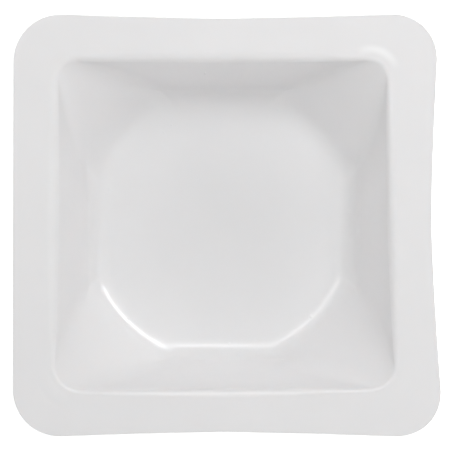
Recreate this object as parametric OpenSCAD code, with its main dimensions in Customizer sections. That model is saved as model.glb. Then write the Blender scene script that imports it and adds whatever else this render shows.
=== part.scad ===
// Square weighing boat for a laboratory balance, thermoformed from one sheet of polystyrene.
// A flat floor, square with its corners cut to a circle, rises in a soft bend to four sloping
// walls. The walls turn over a tighter rim into a flat flange, trimmed to a square outline.
// The flange has shrunk unevenly: its edges bow in by different amounts, and the rim's front
// corners are pulled out.
// +X points to the right, +Y to the back and +Z up. The origin is the centre of the floor's
// underside. All sizes are in millimetres.

/* [Dish] */
// Height from the bench to the top of the flange
height = 25; // [20:0.5:30]
// Width of the opening between opposite walls, where they meet the flange's upper face
opening_w = 69.6; // [67:0.2:74]
// Radius of the opening's two corners at the back
opening_r_back = 3.8; // [3:0.1:8]
// Radius of the opening's two corners at the front
opening_r_front = 5.1; // [3:0.1:8]
// Width of the flat floor between opposite bends
floor_w = 47; // [42:0.2:49]
// Length of the straight stretch in the middle of each side of the flat floor
floor_flat = 20; // [12:0.5:26]
// Radius that joins each straight stretch to the round corners of the floor
floor_blend_r = 4; // [0.5:0.5:6]

/* [Bends] */
// Radius of the inner face's bend from the floor up to the front wall
floor_bend_front = 5.6; // [3:0.1:8]
// Radius of the same bend up to the back wall; along the sides it grows from one to the other
floor_bend_back = 6.8; // [3:0.1:8]
// Radius of the upper face's bend over the rim, from the walls to the flange, at the corners
rim_bend_corner = 1.2; // [0.8:0.1:3]
// Radius of the same bend in the middle of each side
rim_bend_side = 2.6; // [0.8:0.1:3.5]

/* [Sheet] */
// Thickness of the flange, which keeps nearly all of the sheet's thickness
flange_t = 0.3; // [0.2:0.05:0.6]
// Thickness of the floor, where the sheet is drawn thin
floor_t = 0.2; // [0.15:0.05:0.5]

/* [Flange] */
// Width of the flange beside the right wall
flange_right = 11; // [7:0.1:13]
// Width of the flange beside the left wall
flange_left = 9.2; // [7:0.1:13]
// Width of the flange behind the back wall
flange_back = 10; // [7:0.1:13]
// Width of the flange before the front wall
flange_front = 9.9; // [7:0.1:13]
// Radius of the flange's outer corners
outer_r = 10.4; // [6:0.1:13]
// Length of the low swelling in the flange round each corner, outwards from the rim
swell_w = 4; // [2:0.5:6]
// Height of that swelling
swell_h = 0.12; // [0:0.02:0.3]

/* [Shrinkage] */
// How far the middle of the right edge has drawn in
bow_right = 2; // [0:0.1:3]
// How far the middle of the left edge has drawn in
bow_left = 0; // [0:0.1:3]
// How far the middle of the back edge has drawn in
bow_back = 1.2; // [0:0.1:3]
// How far the middle of the front edge has drawn in
bow_front = 1.3; // [0:0.1:3]
// How sharply each bow turns in its middle: 2 is an even curve, and 1 would be a kink
bow_form = 1.4; // [1.2:0.1:2.4]
// How far the front right corner of the rim is pulled to the right
rim_pull_right = 1.7; // [0:0.1:3]
// How far the front right corner of the rim is pulled to the back
rim_pull_back = 0.6; // [0:0.1:2]
// How far the front left corner of the rim is pulled to the left
rim_pull_left = 0.6; // [0:0.1:2]
// How far the front right corner of the flange is pulled to the right
edge_pull_right = 0.5; // [0:0.1:3]

/* [Facets] */
// Facets round each corner of the dish
corner_steps = 16; // [12:2:20]
// Facets along each straight side
side_steps = 6; // [4:1:8]
// Facets up the bend between floor and wall
bend_steps = 9; // [6:1:10]
// Facets over the rim
rim_steps = 5; // [4:1:6]
// Facets across the swelling in the flange
flange_steps = 6; // [4:1:8]
// Facets round each outer corner of the flange
outer_steps = 12; // [6:1:20]
// Facets along each edge of the flange
bow_steps = 10; // [6:1:16]

/* [Hidden] */

// Height of the drawn dish, from the floor's upper face to the flange's upper face
draw_h = height - floor_t;
// Half widths of the opening and of the flat floor
opening_x = opening_w / 2;
floor_x = floor_w / 2;
// Radii of the opening's corners: back right, back left, front left, front right
corner_r = [opening_r_back, opening_r_back, opening_r_front, opening_r_front];
// Radius of the circle that cuts the flat floor's corners, as the straight stretches leave it
floor_r = floor_blend_r + norm([floor_x - floor_blend_r, floor_flat / 2]);
// Turn of each blend, from the straight stretch to the circle
blend_turn = atan2(floor_flat / 2, floor_x - floor_blend_r);
// Where the flange's four edges would meet if they were straight: right, back, left, front
edges = [
    opening_x + flange_right,
    opening_x + flange_back,
    opening_x + flange_left,
    opening_x + flange_front
];
bows = [bow_right, bow_back, bow_left, bow_front];
// Spare sheet round the flange before it is trimmed, and how far the die goes past the sheet
web = 3;
die_over = 2;

function unit(a) = [cos(a), sin(a)];
function turned(p, q) = q == 0 ? p : turned([-p.y, p.x], q - 1);
function between(p, q, f) = p + f * (q - p);

// Quarter of the flat floor's outline that faces between +X and +Y, at the point facing angle a
function floor_point(a) =
    a < blend_turn
        ? [floor_x - floor_blend_r, floor_flat / 2] + floor_blend_r * unit(a)
    : a > 90 - blend_turn
        ? [floor_flat / 2, floor_x - floor_blend_r] + floor_blend_r * unit(a)
    : floor_r * unit(a);

// The opening's outline round a corner of radius r, in the same quarter
function opening_point(a, r) = (opening_x - r) * [1, 1] + r * unit(a);

// Share of a corner's pull at point p: none at the other corners, all at the corner itself
function share(p, corner) =
    pow(max(0, 1 + p.x * corner.x / opening_x) * max(0, 1 + p.y * corner.y / opening_x) / 4, 2);
function pulled_rim(p) =
    p + share(p, [1, -1]) * [rim_pull_right, rim_pull_back] + share(p, [-1, -1]) * [-rim_pull_left, 0];

// Centre of the flange's outer corner q, between the edges q and q + 1
function edge_centre(q) = turned([edges[q] - outer_r, edges[(q + 1) % 4] - outer_r], q);

// A column up the wall: the angle it faces, its points where the flat floor ends, where the wall
// would meet the flange without a bend and at the edge of the sheet, and its bend over the rim
function column(a, q, floor_p, rim_p, sheet_centre, rim_r) =
    [
        a + 90 * q,
        turned(floor_p, q),
        pulled_rim(turned(rim_p, q)),
        sheet_centre + (outer_r + web) * unit(a + 90 * q),
        rim_r
    ];
function corner_column(a, q) =
    column(a, q, floor_point(a), opening_point(a, corner_r[q]), edge_centre(q), rim_bend_corner);
// A column on the straight side that ends at corner q, at the share s of its length
function side_column(s, q) =
    column(
        0,
        q,
        [floor_x, (2 * s - 1) * floor_flat / 2],
        [opening_x, between(corner_r[(q + 3) % 4] - opening_x, opening_x - corner_r[q], s)],
        between(edge_centre((q + 3) % 4), edge_centre(q), s),
        between(rim_bend_corner, rim_bend_side, sin(180 * s))
    );
columns = [
    for (q = [0 : 3])
        each [
            for (i = [0 : side_steps - 1]) side_column(i / side_steps, q),
            for (i = [0 : corner_steps - 1]) corner_column(90 * i / corner_steps, q)
        ]
];

// How far a column spreads outwards, from the flat floor to the rim
function run(c) = (c[2] - c[1]) * unit(c[0]);

// Radius of a column's bend above the floor
function bend_r(c) =
    between(floor_bend_front, floor_bend_back, (1 + c[1].y / norm(c[1])) / 2);

// How steep the wall is in a column: it leaves the bend above the floor along its tangent, and
// reaches the flange's upper face at the opening's outline
function steepness(c) =
    let (spare = draw_h - 2 * bend_r(c), half_tan = (norm([run(c), sqrt(draw_h * spare)]) - run(c)) / spare)
        2 * atan(half_tan);

// Point of the upper face at a tilt in the bend above the floor, as [outwards, up]
function floor_bend(c, t) = bend_r(c) * [sin(t), 1 - cos(t)];
// Point of the upper face at a tilt in the bend over the rim
function rim_bend(c, t) =
    [run(c) + c[4] * (tan(steepness(c) / 2) - sin(t)), draw_h - c[4] * (1 - cos(t))];

// Sheet thickness at a height above the floor's upper face
function thickness(z) = between(floor_t, flange_t, z / draw_h);

// Point in the dish at the section's [outwards, up], shifted by d along its upward normal
function in_wall(c, p, tilt, d) =
    let (
        level = p.y / draw_h,
        out = p.x - level * run(c) - d * sin(tilt),
        plan = between(c[1], c[2], level) + out * unit(c[0])
    ) [plan.x, plan.y, floor_t + p.y + d * cos(tilt)];

// Height of the swelling round a corner, at a distance out from the rim
function swell(c, distance) = swell_h * pow(sin(2 * c[0]) * sin(180 * distance / swell_w), 2);

// Point on the flange at a distance out from the rim, at depth d under its upper face
function in_flange(c, distance, d) =
    let (
        rim = in_wall(c, rim_bend(c, 0), 0, 0),
        out = c[3] - [rim.x, rim.y],
        plan = [rim.x, rim.y] + distance * out / norm(out)
    ) [plan.x, plan.y, height + swell(c, distance) - d];

// One face of the sheet in a column, from the floor outwards: side 0 is the upper face and
// side 1 the lower
function face(c, side) =
    [
        for (i = [0 : bend_steps])
            let (t = steepness(c) * i / bend_steps, p = floor_bend(c, t))
                in_wall(c, p, t, -side * thickness(p.y)),
        for (i = [rim_steps : -1 : 0])
            let (t = steepness(c) * i / rim_steps, p = rim_bend(c, t))
                in_wall(c, p, t, -side * thickness(p.y)),
        for (i = [1 : flange_steps]) in_flange(c, swell_w * i / flange_steps, side * flange_t),
        [c[3].x, c[3].y, height - side * flange_t]
    ];

function reversed(list) = [for (i = [len(list) - 1 : -1 : 0]) list[i]];

// The sheet as it leaves the mould, with spare flange all round
module formed_sheet() {
    // Each loop runs from the floor out to the edge on top, and back to the floor beneath
    loops = [for (c = columns) concat(face(c, 0), reversed(face(c, 1)))];
    loop_n = len(loops[0]);
    column_n = len(loops);
    // The middle of the floor's upper face, and of its underside
    middle = column_n * loop_n;
    under = middle + 1;
    polyhedron(
        points = concat([for (l = loops) each l], [[0, 0, floor_t], [0, 0, 0]]),
        faces = [
            for (i = [0 : column_n - 1])
                let (a = i * loop_n, b = (i + 1) % column_n * loop_n)
                    each [
                        [middle, b, a],
                        for (j = [0 : loop_n - 2])
                            each [[a + j, b + j, a + j + 1], [a + j + 1, b + j, b + j + 1]],
                        [under, a + loop_n - 1, b + loop_n - 1]
                    ]
        ]
    );
}

// A point of the flange's edge, drawn in by the bows
function bowed(p) =
    let (
        sx = p.x > 0 ? 0 : 2,
        sy = p.y > 0 ? 1 : 3,
        fx = p.x / edges[sx],
        fy = p.y / edges[sy]
    ) p - [
        sign(p.x) * bows[sx] * fx * fx * (1 - pow(abs(fy), bow_form)),
        sign(p.y) * bows[sy] * fy * fy * (1 - pow(abs(fx), bow_form))
    ];
function pulled_edge(p) = p + share(p, [1, -1]) * [edge_pull_right, 0];

// The flange's edge before it shrinks
straight_edge = [
    for (q = [0 : 3])
        each [
            for (i = [0 : bow_steps - 1])
                between(edge_centre((q + 3) % 4), edge_centre(q), i / bow_steps)
                    + outer_r * unit(90 * q),
            for (i = [0 : outer_steps - 1])
                edge_centre(q) + outer_r * unit(90 * (q + i / outer_steps))
        ]
];

// The die that cuts the flange to its outline
module trim_die() {
    translate([0, 0, -die_over]) linear_extrude(height + 2 * die_over)
        polygon([for (p = straight_edge) pulled_edge(bowed(p))]);
}

module weighing_boat() {
    color("whitesmoke") intersection() {
        formed_sheet();
        trim_die();
    }
}

weighing_boat();
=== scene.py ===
"""The looks of a square polystyrene weighing boat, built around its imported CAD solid.

The boat is one thermoformed sheet, so it is one piece here too: a closed shell that follows the
CAD solid's own construction, with fine steps where the solid has facets. Sizes are in
millimetres up to the mesh, which is in metres, in the same frame as the solid. +X is right,
+Y is back and +Z is up.
"""

import math

import bpy
import numpy as np
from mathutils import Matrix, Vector


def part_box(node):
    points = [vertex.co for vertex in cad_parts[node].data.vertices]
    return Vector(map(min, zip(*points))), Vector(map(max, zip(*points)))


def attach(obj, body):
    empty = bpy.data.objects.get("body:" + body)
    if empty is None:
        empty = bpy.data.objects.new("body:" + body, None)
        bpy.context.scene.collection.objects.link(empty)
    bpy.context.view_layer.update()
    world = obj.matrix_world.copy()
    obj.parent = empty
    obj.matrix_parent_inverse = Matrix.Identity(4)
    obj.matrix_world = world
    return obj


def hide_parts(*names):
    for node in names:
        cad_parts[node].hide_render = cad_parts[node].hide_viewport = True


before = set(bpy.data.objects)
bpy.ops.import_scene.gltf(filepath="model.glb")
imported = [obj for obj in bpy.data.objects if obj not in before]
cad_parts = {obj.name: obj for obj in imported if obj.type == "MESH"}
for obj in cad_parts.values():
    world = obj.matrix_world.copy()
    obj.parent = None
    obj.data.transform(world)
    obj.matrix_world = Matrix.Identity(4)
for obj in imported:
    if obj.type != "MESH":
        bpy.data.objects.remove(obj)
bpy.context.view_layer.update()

MM = 0.001
NODE = "weighing_boat"
SLOT = "white_polystyrene"

# The dish, as the CAD solid has it, with the flange where the solid's lies. A value for each side
# is given in the order right, back, left, front, and a value for each corner in the order back
# right, back left, front left, front right.
SWELL_H = 0.12
SWELL_W = 4.0
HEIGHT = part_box(NODE)[1].z / MM - SWELL_H
OPENING_X = 69.6 / 2
OPENING_R = (4.0, 3.6, 5.4, 4.8)
FLOOR_X = 23.5
FLOOR_FLAT = 20.0
FLOOR_BLEND_R = 4.0
FLOOR_BEND_BACK = 6.8
FLOOR_BEND_FRONT = 5.6
FLOOR_T = 0.2
FLANGE_T = 0.3
# Radius of the bend over the rim: in the middle of each side, and at each corner
RIM_BEND_R = (2.6, 2.6, 2.8, 2.2)
RIM_BEND_CORNER_R = (1.2, 1.8, 1.0, 1.0)
# Width of the raised lip that stands in for the swelling round the rim's back right corner
LIP_W = 2.0
# How wide and how far the flange's edge rolls down
ROLL_W = 0.7
ROLL_H = 0.045
# How far each side of the creases between the walls and the round corners they are softened
CREASE = 4.5
# How far each side of its ends the bend above the floor is eased into the floor and the walls
EASE = 1.6
# A reach that is small, so that no mean is taken over nothing
LEAST_REACH = 1e-4

# How far each edge of the flange lies from the middle, and how far shrinking drew it in
EDGES = (45.8, 44.8, 44.0, 44.7)
BOWS = (2.0, 1.2, 0.0, 1.3)
# How sharply each bow turns in its middle: 2 is an even curve, and 1 would be a kink
BOW_FORM = 1.4
OUTER_R = 10.4
# How far corners of the rim and of the flange's edge are pulled, by the signs of their x and y
RIM_PULL = {(1, -1): (1.7, 0.6), (-1, -1): (-0.6, 0.0)}
EDGE_PULL = {(1, -1): (0.5, 0.0)}

# Steps of the shell: along each side and round each corner, and then from the floor outwards
SIDE_STEPS = 52
CORNER_STEPS = 90
# The floor's rings, as shares of its size. They are close where the bend is eased into it.
FLOOR_RINGS = (0.2, 0.4, 0.6, 0.8, 0.86, 0.88, 0.9, 0.92, 0.94, 0.96, 0.98)
BEND_STEPS = 20
WALL_STEPS = 16
RIM_STEPS = 12
SWELL_STEPS = 12
FLANGE_STEPS = 6
ROLL_STEPS = 5
EDGE_STEPS = 4

# Depth of the dish, from its upper face on the floor to that on the flange
DRAW_H = HEIGHT - FLOOR_T
# The angle at which the floor's outline passes from a blend to the large arc round its corner,
# and that arc's radius
BLEND_TURN = math.atan2(FLOOR_FLAT / 2, FLOOR_X - FLOOR_BLEND_R)
FLOOR_R = FLOOR_BLEND_R + math.hypot(FLOOR_X - FLOOR_BLEND_R, FLOOR_FLAT / 2)


# ---------------------------------------------------------------- the shell

def unit(a):
    """Unit vectors that face the angles a."""
    return np.stack([np.cos(a), np.sin(a)], axis=-1)


def turned(p, q):
    """Points p after q quarter turns."""
    for _ in range(q):
        p = np.stack([-p[..., 1], p[..., 0]], axis=-1)
    return p


def pull_share(p, corner):
    """Share of a corner's pull that points p get: all of it at the corner, and none opposite."""
    near = [np.maximum(0, 1 + p[:, k] * corner[k] / OPENING_X) for k in (0, 1)]
    return (near[0] * near[1] / 4) ** 2


def pulled(p, pulls):
    """Points p, moved by the corners' pulls."""
    moves = [pull_share(p, corner)[:, None] * np.array(pull) for corner, pull in pulls.items()]
    return p + sum(moves)


def bowed(p):
    """Points p of the flange's edge, drawn in by the bows."""
    x, y = p[:, 0], p[:, 1]
    fx = x / np.where(x > 0, EDGES[0], EDGES[2])
    fy = y / np.where(y > 0, EDGES[1], EDGES[3])
    dx = np.sign(x) * np.where(x > 0, BOWS[0], BOWS[2]) * fx ** 2 * (1 - abs(fy) ** BOW_FORM)
    dy = np.sign(y) * np.where(y > 0, BOWS[1], BOWS[3]) * fy ** 2 * (1 - abs(fx) ** BOW_FORM)
    return p - np.stack([dx, dy], axis=-1)


def floor_corner(a):
    """The floor's outline at the angles a, from 0 to a quarter turn."""
    low = np.array([FLOOR_X - FLOOR_BLEND_R, FLOOR_FLAT / 2]) + FLOOR_BLEND_R * unit(a)
    high = np.array([FLOOR_FLAT / 2, FLOOR_X - FLOOR_BLEND_R]) + FLOOR_BLEND_R * unit(a)
    at_start, at_end = (a < BLEND_TURN)[:, None], (a > math.pi / 2 - BLEND_TURN)[:, None]
    return np.where(at_start, low, np.where(at_end, high, FLOOR_R * unit(a)))


def edge_centre(q):
    """Centre of the flange's corner q, between the edges q and q + 1."""
    inset = np.array([EDGES[q % 4] - OUTER_R, EDGES[(q + 1) % 4] - OUTER_R])
    return turned(inset, q % 4)


def means(line, reach):
    """A line of points, each moved to the line's mean within its reach either way. The reach is
    cut short near the line's ends, so that they stay where they are."""
    steps = np.linalg.norm(np.diff(line, axis=0), axis=1)
    along = np.concatenate([[0], np.cumsum(steps)])
    areas = np.cumsum((line[1:] + line[:-1]) / 2 * steps[:, None], axis=0)
    areas = np.concatenate([np.zeros((1, 3)), areas])
    slopes = np.diff(line, axis=0) / steps[:, None]
    reach = np.minimum(reach, np.minimum(along, along[-1] - along)) + LEAST_REACH

    def area(x):
        """The line's points, added up along it as far as the lengths x."""
        k = np.clip(np.searchsorted(along, x) - 1, 0, len(steps) - 1)
        beyond = (x - along[k])[:, None]
        return areas[k] + line[k] * beyond + slopes[k] * beyond ** 2 / 2

    return (area(along + reach) - area(along - reach)) / (2 * reach[:, None])


def softened(row, reach):
    """A closed row of points, each moved to the mean of the row within reach of it."""
    n = len(row)
    three_times_round = np.concatenate([row, row, row])
    return means(three_times_round, reach)[n:2 * n]


def eased(rows):
    """Rows of points, with each column's bends eased into what they join."""
    grid = np.stack(rows)
    lines = [means(grid[:, k], EASE) for k in range(grid.shape[1])]
    return list(np.stack(lines, axis=1))


def columns():
    """Columns up the wall, right round the boat: the angle each faces, its points on the floor's
    outline, the opening and the flange's edge, and the radius of its bend over the rim."""
    facing, floor_p, rim_p, edge_p, rim_r = [], [], [], [], []
    across = np.array([0.0, 1.0])
    for q in range(4):
        s = np.arange(SIDE_STEPS)[:, None] / SIDE_STEPS
        facing.append(np.full(SIDE_STEPS, q * math.pi / 2))
        floor_p.append(turned([FLOOR_X, 0] + (s - 0.5) * FLOOR_FLAT * across, q))
        low, high = (OPENING_X - OPENING_R[k % 4] for k in (q + 3, q))
        rim_p.append(turned([OPENING_X, 0] + (s * high - (1 - s) * low) * across, q))
        start, end = edge_centre(q + 3), edge_centre(q)
        edge_p.append(start + s * (end - start) + OUTER_R * unit(facing[-1]))
        middle = np.sin(math.pi * s[:, 0])
        ends = (1 - s[:, 0]) * RIM_BEND_CORNER_R[(q + 3) % 4] + s[:, 0] * RIM_BEND_CORNER_R[q]
        rim_r.append(ends + middle * (RIM_BEND_R[q] - ends))

        a = np.arange(CORNER_STEPS) / CORNER_STEPS * math.pi / 2
        facing.append(a + q * math.pi / 2)
        floor_p.append(turned(floor_corner(a), q))
        rim_p.append(turned((OPENING_X - OPENING_R[q]) + OPENING_R[q] * unit(a), q))
        edge_p.append(edge_centre(q) + OUTER_R * unit(facing[-1]))
        rim_r.append(np.full(CORNER_STEPS, RIM_BEND_CORNER_R[q]))
    lists = (facing, floor_p, rim_p, edge_p, rim_r)
    facing, floor_p, rim_p, edge_p, rim_r = [np.concatenate(parts) for parts in lists]
    return facing, floor_p, pulled(rim_p, RIM_PULL), pulled(bowed(edge_p), EDGE_PULL), rim_r


def edge_rows(inner, edge_p):
    """Rows of the flange from the places inner out to its edge on top, round the edge, and back
    to the places inner beneath."""
    way = edge_p - inner
    way /= np.linalg.norm(way, axis=1)[:, None]
    radius = FLANGE_T / 2
    roll = edge_p - (radius + ROLL_W) * way

    def level_row(plan, height):
        return np.column_stack([plan, np.full(len(plan), height)])

    def flange_row(step, depth):
        return level_row(inner + (roll - inner) * step / FLANGE_STEPS, HEIGHT - depth)

    def roll_row(step, depth):
        part = step / ROLL_STEPS
        return level_row(roll + ROLL_W * part * way, HEIGHT - ROLL_H * part ** 2 - depth)

    def round_row(turn):
        plan = edge_p - radius * (1 - math.sin(turn)) * way
        return level_row(plan, HEIGHT - ROLL_H - radius * (1 - math.cos(turn)))

    rows = [flange_row(i, 0) for i in range(1, FLANGE_STEPS + 1)]
    rows += [roll_row(i, 0) for i in range(1, ROLL_STEPS + 1)]
    rows += [round_row(math.pi * i / (2 * EDGE_STEPS)) for i in range(1, 2 * EDGE_STEPS)]
    rows += [roll_row(i, FLANGE_T) for i in range(ROLL_STEPS, 0, -1)]
    rows += [flange_row(i, FLANGE_T) for i in range(FLANGE_STEPS, 0, -1)]
    return rows


def shell_rows():
    """The shell's rows of points, each right round the boat: from the floor's middle out to the
    flange's edge on top, and back to the floor's middle beneath."""
    facing, floor_p, rim_p, edge_p, rim_r = columns()
    out = unit(facing)
    run = ((rim_p - floor_p) * out).sum(axis=1)
    back_share = 0.5 + 0.5 * floor_p[:, 1] / np.linalg.norm(floor_p, axis=1)
    bend_r = FLOOR_BEND_FRONT + (FLOOR_BEND_BACK - FLOOR_BEND_FRONT) * back_share
    # The wall's angle: it leaves the floor's bend along a tangent and, but for the bend over the
    # rim, it would meet the flange at the opening's outline
    spare = DRAW_H - 2 * bend_r
    half = (np.sqrt(run ** 2 + DRAW_H * spare) - run) / spare
    steep = 2 * np.arctan(half)

    def in_dish(p_out, p_up, tilt, side):
        """Points at the section's [outwards, up], on the upper face or under it."""
        level = p_up / DRAW_H
        depth = side * (FLOOR_T + (FLANGE_T - FLOOR_T) * level)
        beyond = p_out - level * run + depth * np.sin(tilt)
        plan = floor_p + level[:, None] * (rim_p - floor_p) + beyond[:, None] * out
        return np.column_stack([plan, FLOOR_T + p_up - depth * np.cos(tilt)])

    rim_edge = in_dish(run + rim_r * half, np.full_like(run, DRAW_H), 0 * run, 0)[:, :2]
    # The swelling round each corner, which is a lip instead at the back right one
    corner_h = SWELL_H * np.sin(2 * facing) ** 2
    lip_h = np.where(facing < math.pi / 2, corner_h, 0)
    corner_h = corner_h - lip_h

    def on_flange(distance, depth):
        """Points on the flange at a distance out from the rim's bend."""
        swell = corner_h * np.sin(math.pi * min(distance / SWELL_W, 1)) ** 2
        lip = lip_h * np.cos(math.pi / 2 * min(distance / LIP_W, 1)) ** 2
        way = edge_p - rim_edge
        plan = rim_edge + distance * way / np.linalg.norm(way, axis=1)[:, None]
        return np.column_stack([plan, HEIGHT + swell + lip - depth])

    def face(side):
        """The rows of one face from the floor outwards, and its middle. Side 0 is the upper face
        and side 1 the one beneath."""
        bend, rim = [], []
        for i in range(BEND_STEPS + 1):
            t = steep * i / BEND_STEPS
            bend.append(in_dish(bend_r * np.sin(t), bend_r * (1 - np.cos(t)), t, side))
        for i in range(RIM_STEPS, -1, -1):
            t = steep * i / RIM_STEPS
            p_out, p_up = run + rim_r * (half - np.sin(t)), DRAW_H - rim_r * (1 - np.cos(t))
            row = in_dish(p_out, p_up, t, side)
            row[:, 2] += lip_h * math.cos(math.pi / 2 * i / RIM_STEPS) ** 2
            rim.append(row)
        middle = bend[0].mean(axis=0)
        floor = [middle + (bend[0] - middle) * size for size in FLOOR_RINGS]
        wall = []
        for i in range(1, WALL_STEPS):
            row = bend[-1] + (rim[0] - bend[-1]) * i / WALL_STEPS
            wall.append(softened(row, CREASE * math.sqrt(math.sin(math.pi * i / WALL_STEPS))))
        rows = eased(floor + bend + wall + rim[:1]) + rim[1:]
        distances = [SWELL_W * i / SWELL_STEPS for i in range(1, SWELL_STEPS + 1)]
        return rows + [on_flange(distance, side * FLANGE_T) for distance in distances], middle

    upper, middle = face(0)
    lower, under = face(1)
    return upper + edge_rows(upper[-1][:, :2], edge_p) + lower[::-1], middle, under


def make_shell():
    """The sheet as a closed mesh: bands of quads between its rows, and a fan in each middle."""
    rows, middle, under = shell_rows()
    n = len(rows[0])
    points = np.concatenate([*rows, [middle], [under]]) * MM
    i = np.arange(n)
    j = (i + 1) % n
    faces = []
    for r in range(len(rows) - 1):
        a, b = r * n, (r + 1) * n
        faces += np.column_stack([a + i, b + i, b + j, a + j]).tolist()
    first, last = len(rows) * n, (len(rows) - 1) * n
    faces += np.column_stack([np.full(n, first), i, j]).tolist()
    faces += np.column_stack([np.full(n, first + 1), last + j, last + i]).tolist()
    mesh = bpy.data.meshes.new("boat_shell")
    mesh.from_pydata(points.tolist(), [], faces)
    mesh.polygons.foreach_set("use_smooth", [True] * len(mesh.polygons))
    mesh.validate()
    mesh.update()
    shell = bpy.data.objects.new("boat_shell", mesh)
    bpy.context.scene.collection.objects.link(shell)
    return shell


# ---------------------------------------------------------------- the material

class Nodes:
    """A material's or a world's node tree, with short calls to add and link nodes."""

    def __init__(self, owner, output):
        owner.use_nodes = True
        self.tree = owner.node_tree
        self.tree.nodes.clear()
        self.output = self.add(output)

    def add(self, kind, **inputs):
        node = self.tree.nodes.new(kind)
        for name, value in inputs.items():
            self.put(node, name.replace("_", " "), value)
        return node

    def put(self, node, socket, value):
        if isinstance(value, bpy.types.NodeSocket):
            self.tree.links.new(value, node.inputs[socket])
        else:
            node.inputs[socket].default_value = value

    def noise(self, where, scale, detail):
        node = self.add("ShaderNodeTexNoise", Scale=scale, Detail=detail)
        self.put(node, "Vector", where)
        return node.outputs["Fac"]

    def math(self, kind, *values):
        node = self.add("ShaderNodeMath")
        node.operation = kind
        for socket, value in enumerate(values):
            self.put(node, socket, value)
        return node.outputs[0]

    def mix(self, first, second, factor):
        """The first colour where the factor is 0, and the second where it is 1."""
        node = self.add("ShaderNodeMix")
        node.data_type = "RGBA"
        factor_socket, first_socket, second_socket, result_socket = 0, 6, 7, 2
        self.put(node, factor_socket, factor)
        self.put(node, first_socket, first)
        self.put(node, second_socket, second)
        return node.outputs[result_socket]

    def bump(self, height, strength, distance, under=None):
        """Relief from a height, on top of the relief that is under it."""
        node = self.add("ShaderNodeBump", Strength=strength, Distance=distance)
        self.put(node, "Height", height)
        if under:
            self.put(node, "Normal", under)
        return node.outputs["Normal"]

    def seen(self):
        """1 for rays that show the background, straight or mirrored, and 0 for those that light."""
        path = self.add("ShaderNodeLightPath").outputs
        mirrored = self.math("MAXIMUM", path["Is Glossy Ray"], path["Is Transmission Ray"])
        return self.math("MAXIMUM", path["Is Camera Ray"], mirrored)

    def near(self, value, reach):
        """1 where the value is 0, down to 0 where it is the reach or more from 0."""
        node = self.add("ShaderNodeMapRange", From_Min=0, From_Max=reach, To_Min=1, To_Max=0)
        node.interpolation_type = "SMOOTHSTEP"
        self.put(node, "Value", self.math("ABSOLUTE", value))
        return node.outputs["Result"]

    def plan_vector(self, kind, where, x, y):
        """A vector operation between the places in plan and the point x, y."""
        flat = self.add("ShaderNodeVectorMath")
        flat.operation = "MULTIPLY"
        self.put(flat, 0, where)
        self.put(flat, 1, (1, 1, 0))
        node = self.add("ShaderNodeVectorMath")
        node.operation = kind
        self.put(node, 0, flat.outputs[0])
        self.put(node, 1, (x, y, 0))
        return node

    def spread(self, value, low, high):
        """A noise value from 0.3 to 0.7, spread from low to high."""
        node = self.add("ShaderNodeMapRange", From_Min=0.3, From_Max=0.7, To_Min=low, To_Max=high)
        self.put(node, "Value", value)
        return node.outputs["Result"]


# Small round marks left by the mould's vents and by handling: x, y and radius, and their depth
PIPS = (
    (1.6, -25.4, 0.45),
    (19.5, -19.4, 0.5),
    (-20.6, -19.8, 0.4),
    (12.2, 26.0, 0.5),
    (-24.7, 8.5, 0.5),
    (-3.7, 32.7, 0.3),
    (-12.9, 21.1, 0.25),
    (-11.2, 22.7, 0.25),
)
PIP_DEPTH = 0.06
# The plastic's faint clouds lie between these two colours
TINTS = ((0.865, 0.858, 0.862, 1), (0.895, 0.885, 0.889, 1))
# Where a brighter crescent is painted beside the rim's back right corner, a painted highlight
# where the flange faces the lamps: the middle of the arc that it lies on, the arc's radius, half
# the width of the painted highlight, the direction in which it is brightest, the cosine of the
# angle from there at which it ends, and its colour
PAINTED_HIGHLIGHT_MIDDLE = (31.2, 31.4)
PAINTED_HIGHLIGHT_R = 5.7
PAINTED_HIGHLIGHT_HALF_W = 1.4
PAINTED_HIGHLIGHT_AZIMUTH = 68
PAINTED_HIGHLIGHT_END = 0.6
PAINTED_HIGHLIGHT_COLOUR = (0.98, 0.975, 0.977, 1)


def painted_highlight(m, where):
    """How strong the painted highlight is: 1 on the middle of the arc, and 0 away from it."""
    x, y = PAINTED_HIGHLIGHT_MIDDLE[0] * MM, PAINTED_HIGHLIGHT_MIDDLE[1] * MM
    way = m.plan_vector("SUBTRACT", where, x, y).outputs[0]
    away = m.plan_vector("DISTANCE", where, x, y).outputs["Value"]
    ring = m.near(m.math("SUBTRACT", away, PAINTED_HIGHLIGHT_R * MM), PAINTED_HIGHLIGHT_HALF_W * MM)
    a = math.radians(PAINTED_HIGHLIGHT_AZIMUTH)
    along = m.plan_vector("DOT_PRODUCT", way, math.cos(a), math.sin(a)).outputs["Value"]
    ahead = m.add("ShaderNodeMapRange", From_Min=PAINTED_HIGHLIGHT_END, From_Max=1, To_Min=0, To_Max=1)
    m.put(ahead, "Value", m.math("DIVIDE", along, away))
    return m.math("MULTIPLY", ring, ahead.outputs["Result"])


def pip_marks(m, where):
    """The marks' height: 1 in the middle of each, and 0 away from them."""
    marks = 0
    for x, y, radius in PIPS:
        away = m.plan_vector("DISTANCE", where, x * MM, y * MM).outputs["Value"]
        marks = m.math("ADD", marks, m.near(away, radius * MM))
    return marks


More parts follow.
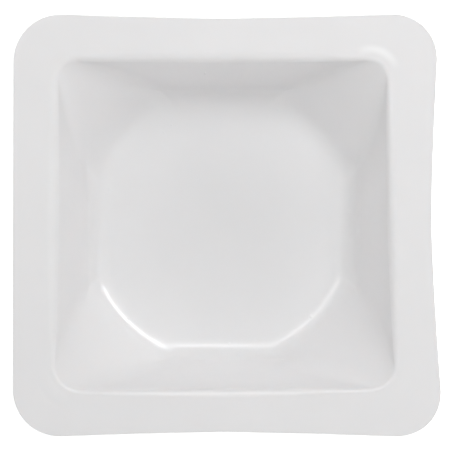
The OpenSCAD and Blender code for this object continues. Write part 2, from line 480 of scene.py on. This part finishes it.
def polystyrene():
    """White polystyrene, semi-gloss and a little translucent, with faint clouds in its colour, a
    painted highlight beside the rim's back right corner, an uneven gloss, and the relief of its
    drawing, its grain and its marks."""
    material = bpy.data.materials.new(SLOT)
    m = Nodes(material, "ShaderNodeOutputMaterial")
    where = m.add("ShaderNodeTexCoord").outputs["Object"]
    clouds = m.noise(where, 60.0, 2.0)
    grain = m.noise(where, 1500.0, 3.0)
    peel = m.noise(where, 700.0, 2.0)
    drawn = m.noise(where, 130.0, 1.0)

    tint = m.mix(*TINTS, m.spread(clouds, 0.2, 0.8))
    pips = m.bump(pip_marks(m, where), 1.0, PIP_DEPTH * MM)
    low = m.bump(drawn, 0.06, 0.02 * MM, pips)
    fine = m.bump(peel, 0.05, 0.004 * MM, low)

    shader = m.add("ShaderNodeBsdfPrincipled", IOR=1.59)
    # The colour carries a painted highlight: a brighter crescent beside the rim's back right
    # corner, where the flange faces the lamps.
    m.put(shader, "Base Color", m.mix(tint, PAINTED_HIGHLIGHT_COLOUR, painted_highlight(m, where)))
    m.put(shader, "Roughness", m.spread(grain, 0.22, 0.25))
    m.put(shader, "Normal", fine)
    m.put(shader, "Subsurface Weight", 0.3)
    m.put(shader, "Subsurface Radius", (1.0, 0.9, 0.85))
    m.put(shader, "Subsurface Scale", 0.6 * MM)
    m.put(m.output, "Surface", shader.outputs["BSDF"])
    return material


# ---------------------------------------------------------------- floor, light and camera

# The floor's half width in metres, its grey, and how much white it adds where it is seen, so
# that it shows as a white background
FLOOR_HALF_W = 1.5
FLOOR_GREY = 0.8
FLOOR_GLOW = 0.8


def make_floor():
    """A plain floor under the boat, which keeps the boat's shadow."""
    mesh = bpy.data.meshes.new("floor")
    w = FLOOR_HALF_W
    mesh.from_pydata([(-w, -w, 0), (w, -w, 0), (w, w, 0), (-w, w, 0)], [], [(0, 1, 2, 3)])
    floor = bpy.data.objects.new("floor", mesh)
    bpy.context.scene.collection.objects.link(floor)

    material = bpy.data.materials.new("white_floor")
    m = Nodes(material, "ShaderNodeOutputMaterial")
    diffuse = m.add("ShaderNodeBsdfDiffuse", Color=(FLOOR_GREY, FLOOR_GREY, FLOOR_GREY, 1))
    glow = m.add("ShaderNodeEmission", Color=(1, 1, 1, 1))
    m.put(glow, "Strength", m.math("MULTIPLY", m.seen(), FLOOR_GLOW))
    both = m.add("ShaderNodeAddShader")
    m.put(both, 0, diffuse.outputs[0])
    m.put(both, 1, glow.outputs[0])
    m.put(m.output, "Surface", both.outputs[0])
    floor.data.materials.append(material)


# The soft panels round the boat: name, azimuth and elevation in degrees, width and height as
# seen from the boat in degrees, distance in metres, and radiance, where white paper has 1
LIGHTS = (
    ("top", 0, 90, 50, 50, 0.45, 0.45),
    ("high_ne", 45, 68, 40, 30, 0.4, 3.2),
    ("high_n", 90, 68, 40, 30, 0.4, 0.7),
    ("mid_e", 0, 48, 45, 40, 0.4, 0.15),
    ("mid_w", 180, 48, 45, 40, 0.4, 0.5),
    ("mid_s", 270, 48, 45, 40, 0.4, 0.3),
    ("low_n", 90, 18, 50, 24, 0.4, 0.4),
    ("low_w", 180, 18, 50, 24, 0.4, 1.5),
    ("low_s", 270, 18, 50, 24, 0.4, 0.9),
    ("low_se", 315, 18, 50, 24, 0.4, 1.2),
    ("key", 48, 28, 44, 12, 0.5, 2.1),
    ("north", 90, 44, 24, 9, 0.5, 0.6),
)
# Panels that show only as gleams in the bends
GLEAMS = (
    ("key_gleam", 50, 28, 42, 18, 0.5, 7),
    ("north_gleam", 90, 45.5, 24, 5, 0.5, 10),
    ("west_gleam", 135, 57, 42, 11, 0.5, 4),
)
# The room's own soft light, from everywhere
AMBIENT = 0.025


def direction(azimuth, elevation):
    a, e = math.radians(azimuth), math.radians(elevation)
    return Vector((math.cos(e) * math.cos(a), math.cos(e) * math.sin(a), math.sin(e)))


def add_panel(name, azimuth, elevation, width, height, distance, radiance, gleams):
    """A soft panel that faces the boat, and that either lights it or only shows as a gleam."""
    light = bpy.data.lights.new(name, "AREA")
    light.shape = "RECTANGLE"
    light.size = 2 * distance * math.tan(math.radians(width / 2))
    light.size_y = 2 * distance * math.tan(math.radians(height / 2))
    light.energy = radiance * light.size * light.size_y * math.pi
    way = direction(azimuth, elevation)
    lamp = bpy.data.objects.new(name, light)
    lamp.location = way * distance
    lamp.rotation_euler = way.to_track_quat("Z", "Y").to_euler()
    lamp.visible_glossy = gleams
    lamp.visible_diffuse = not gleams
    # Without this, a panel that lights the boat would still leave a gleam by a chance hit
    light.cycles.use_multiple_importance_sampling = gleams
    bpy.context.scene.collection.objects.link(lamp)


def make_world():
    """A world that lights the boat from everywhere, and that shows as white."""
    world = bpy.data.worlds.new("studio")
    w = Nodes(world, "ShaderNodeOutputWorld")
    strength = w.add("ShaderNodeMapRange", To_Min=AMBIENT, To_Max=1)
    w.put(strength, "Value", w.seen())
    background = w.add("ShaderNodeBackground", Color=(1, 1, 1, 1))
    w.put(background, "Strength", strength.outputs["Result"])
    w.put(w.output, "Surface", background.outputs[0])
    bpy.context.scene.world = world


def make_light():
    for light in LIGHTS:
        add_panel(*light, gleams=False)
    for gleam in GLEAMS:
        add_panel(*gleam, gleams=True)
    make_world()


# The camera stands nearly straight above the boat. It aims at a place on the flange's level, and
# this much of that level fills the picture's width.
CAMERA_AIM = (0.57, 0.04, HEIGHT)
CAMERA_AZIMUTH = 270
CAMERA_ELEVATION = 88.5
CAMERA_DISTANCE = 550
CAMERA_VIEW_W = 94.538


def make_camera():
    data = bpy.data.cameras.new("camera")
    data.sensor_width = 36.0
    data.lens = CAMERA_DISTANCE / CAMERA_VIEW_W * data.sensor_width
    data.clip_start, data.clip_end = 0.05, 10
    camera = bpy.data.objects.new("camera", data)
    back = direction(CAMERA_AZIMUTH, CAMERA_ELEVATION)
    camera.location = (Vector(CAMERA_AIM) + back * CAMERA_DISTANCE) * MM
    camera.rotation_euler = back.to_track_quat("Z", "Y").to_euler()
    bpy.context.scene.collection.objects.link(camera)
    bpy.context.scene.camera = camera


# ---------------------------------------------------------------- the scene

shell = make_shell()
shell.data.materials.append(polystyrene())
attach(shell, "root")
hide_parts(NODE)
make_floor()
make_light()
make_camera()
bpy.context.scene.view_settings.view_transform = "Standard"
